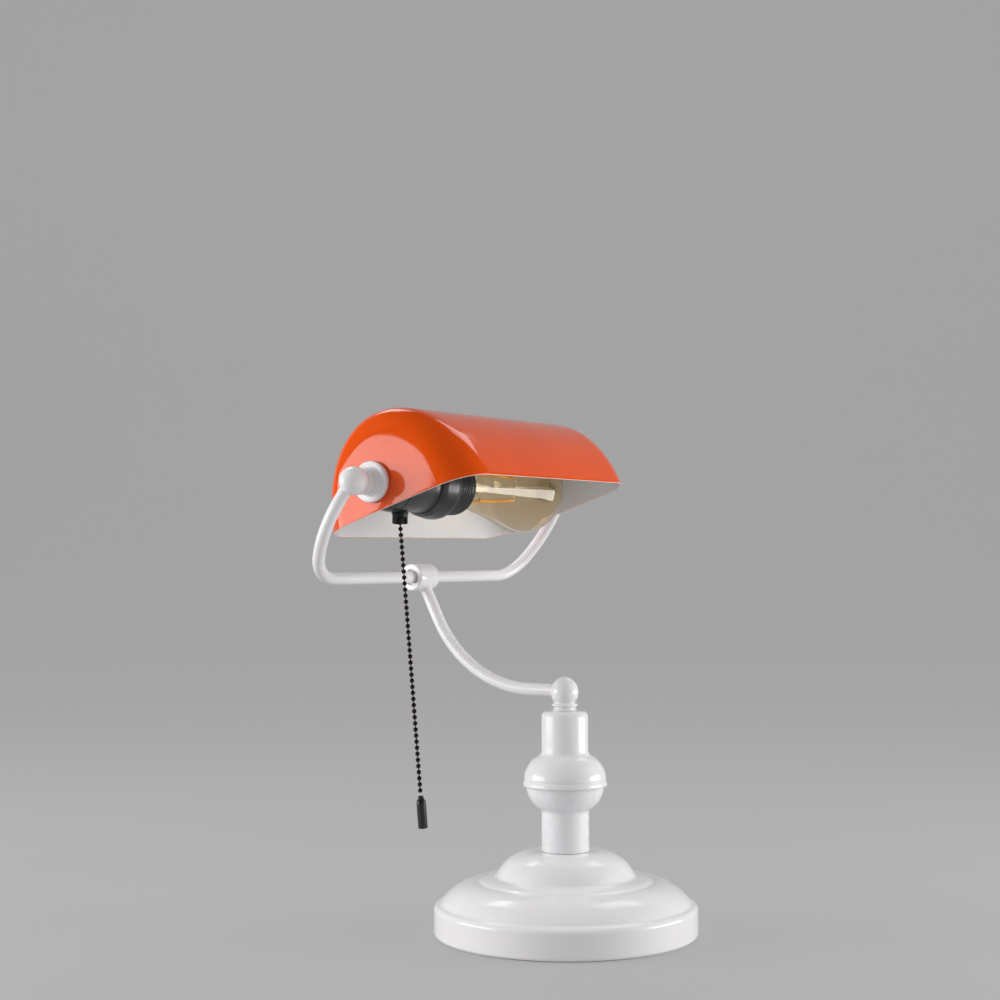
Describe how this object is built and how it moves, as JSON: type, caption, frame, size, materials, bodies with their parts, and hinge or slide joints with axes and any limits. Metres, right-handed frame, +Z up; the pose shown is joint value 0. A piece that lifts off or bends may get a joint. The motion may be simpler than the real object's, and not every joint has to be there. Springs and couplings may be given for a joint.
{
  "type": "banker desk lamp",
  "caption": "Desk lamp with a dished round base, turned pillar, curved arm and a tilting half-barrel shade carried in a U-shaped yoke, switched by a pull chain.",
  "frame": {"origin": "centre of the base's underside, on the table", "axes": "+Z up; X along the shade and the yoke's bar; the arm leaves the pillar along +Y and the yoke leans back over it towards -Y, the user's side"},
  "size_m": [0.283, 0.2206, 0.358],
  "materials": {
    "white_enamel": "gloss enamel, baked",
    "orange_enamel": "gloss enamel outside, white inside",
    "black_plastic": "moulded phenolic",
    "zinc_steel": "zinc plated",
    "brass": "drawn brass",
    "black_brass": "blackened brass",
    "iron": "as cast",
    "foot_rubber": "moulded rubber",
    "insulator": "ceramic-filled insulator",
    "lead": "insulated lead",
    "grommet": "moulded grommet",
    "aluminium": "spun cap",
    "amber_glass": "amber tinted",
    "clear_glass": "stem glass",
    "filament": "phosphor-coated strip"
  },
  "bodies": {
    "base": {"base_shell": "white_enamel", "base_weight": "iron", "bottom_plate": "zinc_steel", "base_foot": "foot_rubber", "plate_screws": "zinc_steel", "cord_grommet": "grommet", "terminal_block": "insulator", "threaded_rod": "zinc_steel", "rod_washer": "zinc_steel", "rod_nut": "zinc_steel", "pillar_lower": "white_enamel", "seat_ring": "zinc_steel", "pillar_upper": "white_enamel", "finial": "white_enamel", "arm_tube": "white_enamel", "arm_lead": "lead", "base_lead": "lead", "hub": "white_enamel", "hub_grub_screw": "zinc_steel"},
    "yoke": {"yoke_tube": "white_enamel", "yoke_lead": "lead", "left_knuckle": "white_enamel", "right_knuckle": "white_enamel", "left_flange": "white_enamel", "right_flange": "white_enamel", "pivot_nipple": "zinc_steel", "pivot_screw": "zinc_steel", "friction_washers": "insulator", "pivot_nuts": "zinc_steel", "holder_cap": "black_plastic", "holder_body": "black_plastic", "holder_ring": "black_plastic", "holder_skirt": "black_plastic", "switch_nozzle": "black_plastic", "switch_block": "insulator", "shell_insulator": "insulator", "screw_shell": "brass", "centre_contact": "brass", "bulb_cap": "aluminium", "bulb_glass": "amber_glass", "bulb_stem": "clear_glass", "bulb_filaments": "filament"},
    "shade": {"shade": "orange_enamel"},
    "plunger": {"switch_plunger": "black_brass"},
    "chain_link": {"chain_link": "black_brass"},
    "chain": {"pull_chain": "black_brass", "pull_knob": "black_plastic"}
  },
  "joints": [
    {"name": "yoke_tilt", "type": "hinge", "parent": "base", "child": "yoke", "pos_m": [0, 0.12089, 0.24355], "axis": [1, 0, 0], "range_deg": [-20, 35]},
    {"name": "shade_tilt", "type": "hinge", "parent": "yoke", "child": "shade", "pos_m": [0, 0.08072, 0.30783], "axis": [1, 0, 0], "range_deg": [-30, 50]},
    {"name": "switch_pull", "type": "slide", "parent": "yoke", "child": "plunger", "axis": [0, 0, -1], "range_m": [0, 0.008], "stiffness_N_per_m": 600, "springref_m": -0.004},
    {"name": "chain_swing", "type": "hinge", "parent": "plunger", "child": "chain_link", "pos_m": [-0.08, 0.08072, 0.28103], "axis": [-1, 0, 0], "range_deg": [-24, 38]},
    {"name": "chain_sway", "type": "hinge", "parent": "chain_link", "child": "chain", "pos_m": [-0.08, 0.08072, 0.28103], "axis": [0, 1, 0], "range_deg": [-18, 18]}
  ]
}
